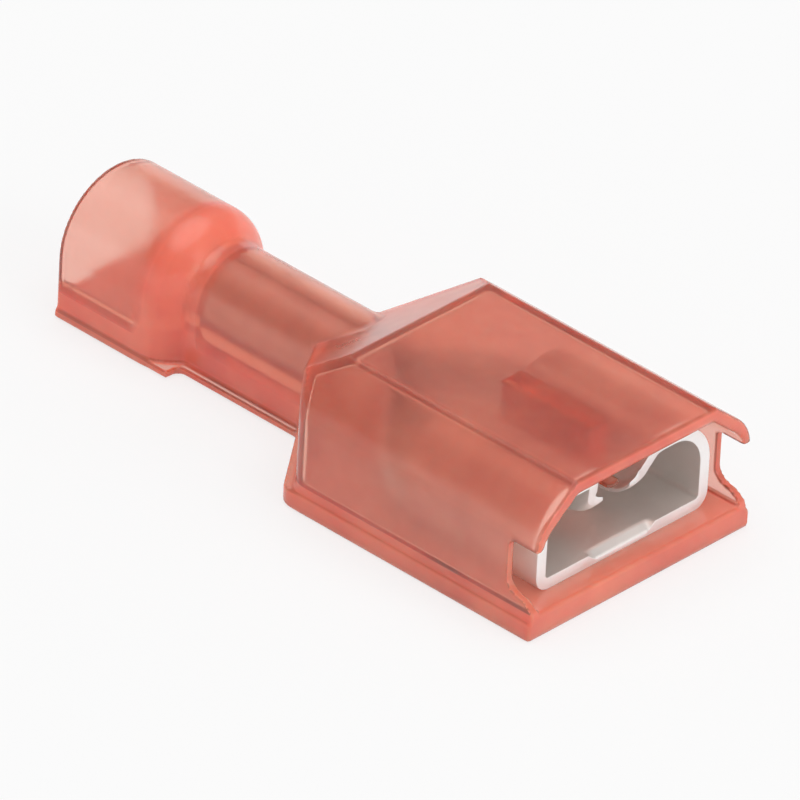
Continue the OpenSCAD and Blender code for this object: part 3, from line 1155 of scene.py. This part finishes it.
@dataclass
class Studio:
    """Pale floor, a soft lamp and the camera. Places are in millimetres."""

    camera_place: tuple[float, float, float] = (280.18, -306.27, 265.86)
    camera_right: tuple[float, float, float] = (0.7182, 0.6943, 0.0462)
    camera_up: tuple[float, float, float] = (-0.4020, 0.3598, 0.8420)
    lens: float = 729.4
    sensor: float = 36.0
    floor_size: float = 2400.0
    floor_drop: float = 0.03
    floor_glow: float = 0.72
    sky_levels: tuple[tuple[float, float], ...] = (
        (0.0, 1.2), (0.22, 1.0), (0.38, 0.35), (0.78, 0.35), (0.9, 1.9), (1.0, 2.0))

    def build(self) -> None:
        """Builds the floor, the lamp, the sky and the camera."""
        self._floor()
        self._sky()
        self._lamp("soft_box_front", (450.0, 60.0, 180.0), 300.0, 0.7)
        self._camera()

    def _camera(self) -> None:
        """Makes the camera and sets it as the scene's."""
        right, up = Vector(self.camera_right), Vector(self.camera_up)
        back = right.cross(up).normalized()
        right = up.cross(back).normalized()
        up = back.cross(right)
        data = bpy.data.cameras.new("camera")
        data.sensor_width = self.sensor
        data.lens = self.lens
        data.clip_start = 0.01
        data.clip_end = 20.0
        camera = bpy.data.objects.new("camera", data)
        turn = Matrix((right, up, back)).transposed().to_4x4()
        camera.matrix_world = Matrix.Translation(Vector(self.camera_place) * MM) @ turn
        bpy.context.scene.collection.objects.link(camera)
        bpy.context.scene.camera = camera

    def _lamp(self, name: str, place: tuple[float, float, float], size: float, power: float) -> None:
        """Adds a square soft lamp that faces the part.

        Args:
            name: Name of the lamp.
            place: Where it stands, in millimetres.
            size: Its side, in millimetres.
            power: Its power in watts.
        """
        data = bpy.data.lights.new(name, "AREA")
        data.size = size * MM
        data.energy = power
        lamp = bpy.data.objects.new(name, data)
        lamp.location = Vector(place) * MM
        lamp.rotation_euler = (-lamp.location).to_track_quat("-Z", "Y").to_euler()
        bpy.context.scene.collection.objects.link(lamp)

    def _floor(self) -> None:
        """Lays the pale floor, which keeps a soft shadow of the part."""
        half = self.floor_size / 2.0 * MM
        mesh = bpy.data.meshes.new("floor")
        drop = -self.floor_drop * MM
        corners = [(-half, -half, drop), (half, -half, drop), (half, half, drop), (-half, half, drop)]
        mesh.from_pydata(corners, [], [(0, 1, 2, 3)])
        n = Nodes.start("floor_paper")
        paper = n.add("ShaderNodeBsdfDiffuse", Color=(0.9, 0.9, 0.9, 1.0))
        bright = n.add("ShaderNodeEmission", Color=(1.0, 1.0, 1.0, 1.0), Strength=1.0)
        path = n.add("ShaderNodeLightPath")
        share = n.add("ShaderNodeMath", operation="MULTIPLY")
        share.inputs[1].default_value = self.floor_glow
        straight = n.add("ShaderNodeMath", operation="MAXIMUM")
        n.link(path.outputs["Is Camera Ray"], straight.inputs[0])
        n.link(path.outputs["Is Transmission Ray"], straight.inputs[1])
        seen = n.add("ShaderNodeMath", operation="MAXIMUM")
        n.link(straight.outputs[0], seen.inputs[0])
        n.link(path.outputs["Is Glossy Ray"], seen.inputs[1])
        n.link(seen.outputs[0], share.inputs[0])
        mixed = n.add("ShaderNodeMixShader")
        n.link(share.outputs[0], mixed.inputs[0])
        n.link(paper.outputs[0], mixed.inputs[1])
        n.link(bright.outputs[0], mixed.inputs[2])
        out = n.add("ShaderNodeOutputMaterial")
        n.link(mixed.outputs[0], out.inputs["Surface"])
        mesh.materials.append(n.material)
        floor = new_object("floor", mesh)

    def _sky(self) -> None:
        """Makes the studio light: bright low down and overhead, dim between."""
        world = bpy.data.worlds.new("studio")
        bpy.context.scene.world = world
        world.use_nodes = True
        tree = world.node_tree
        tree.nodes.clear()
        place = tree.nodes.new("ShaderNodeTexCoord")
        parts = tree.nodes.new("ShaderNodeSeparateXYZ")
        level = tree.nodes.new("ShaderNodeValToRGB")
        most = max(strength for _, strength in self.sky_levels)
        points = level.color_ramp.elements
        points.remove(points[1])
        for k, (height, strength) in enumerate(self.sky_levels):
            point = points[0] if k == 0 else points.new(height)
            point.position = height
            point.color = (strength / most, strength / most, strength / most, 1.0)
        raised = tree.nodes.new("ShaderNodeMath")
        raised.operation = "MULTIPLY"
        raised.inputs[1].default_value = most
        light = tree.nodes.new("ShaderNodeBackground")
        seen = tree.nodes.new("ShaderNodeBackground")
        path = tree.nodes.new("ShaderNodeLightPath")
        mixed = tree.nodes.new("ShaderNodeMixShader")
        out = tree.nodes.new("ShaderNodeOutputWorld")
        tree.links.new(place.outputs["Generated"], parts.inputs[0])
        tree.links.new(parts.outputs["Z"], level.inputs["Fac"])
        tree.links.new(level.outputs["Color"], raised.inputs[0])
        tree.links.new(raised.outputs[0], light.inputs["Strength"])
        tree.links.new(path.outputs["Is Camera Ray"], mixed.inputs[0])
        tree.links.new(light.outputs[0], mixed.inputs[1])
        tree.links.new(seen.outputs[0], mixed.inputs[2])
        tree.links.new(mixed.outputs[0], out.inputs["Surface"])
        light.inputs["Color"].default_value = (1.0, 1.0, 1.0, 1.0)
        seen.inputs["Color"].default_value = (1.0, 1.0, 1.0, 1.0)
        seen.inputs["Strength"].default_value = 1.0


def main() -> None:
    """Builds the camera and studio first, then the pieces, and reports each."""
    logging.basicConfig(level=logging.INFO, format="%(message)s")
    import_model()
    bpy.context.scene.view_settings.view_transform = "Standard"
    Studio().build()
    for maker in (Housing(), Receptacle()):
        piece = maker.build()
        log.info("%s: %d faces", piece.name, len(piece.data.polygons))


if __name__ == "__main__":
    main()
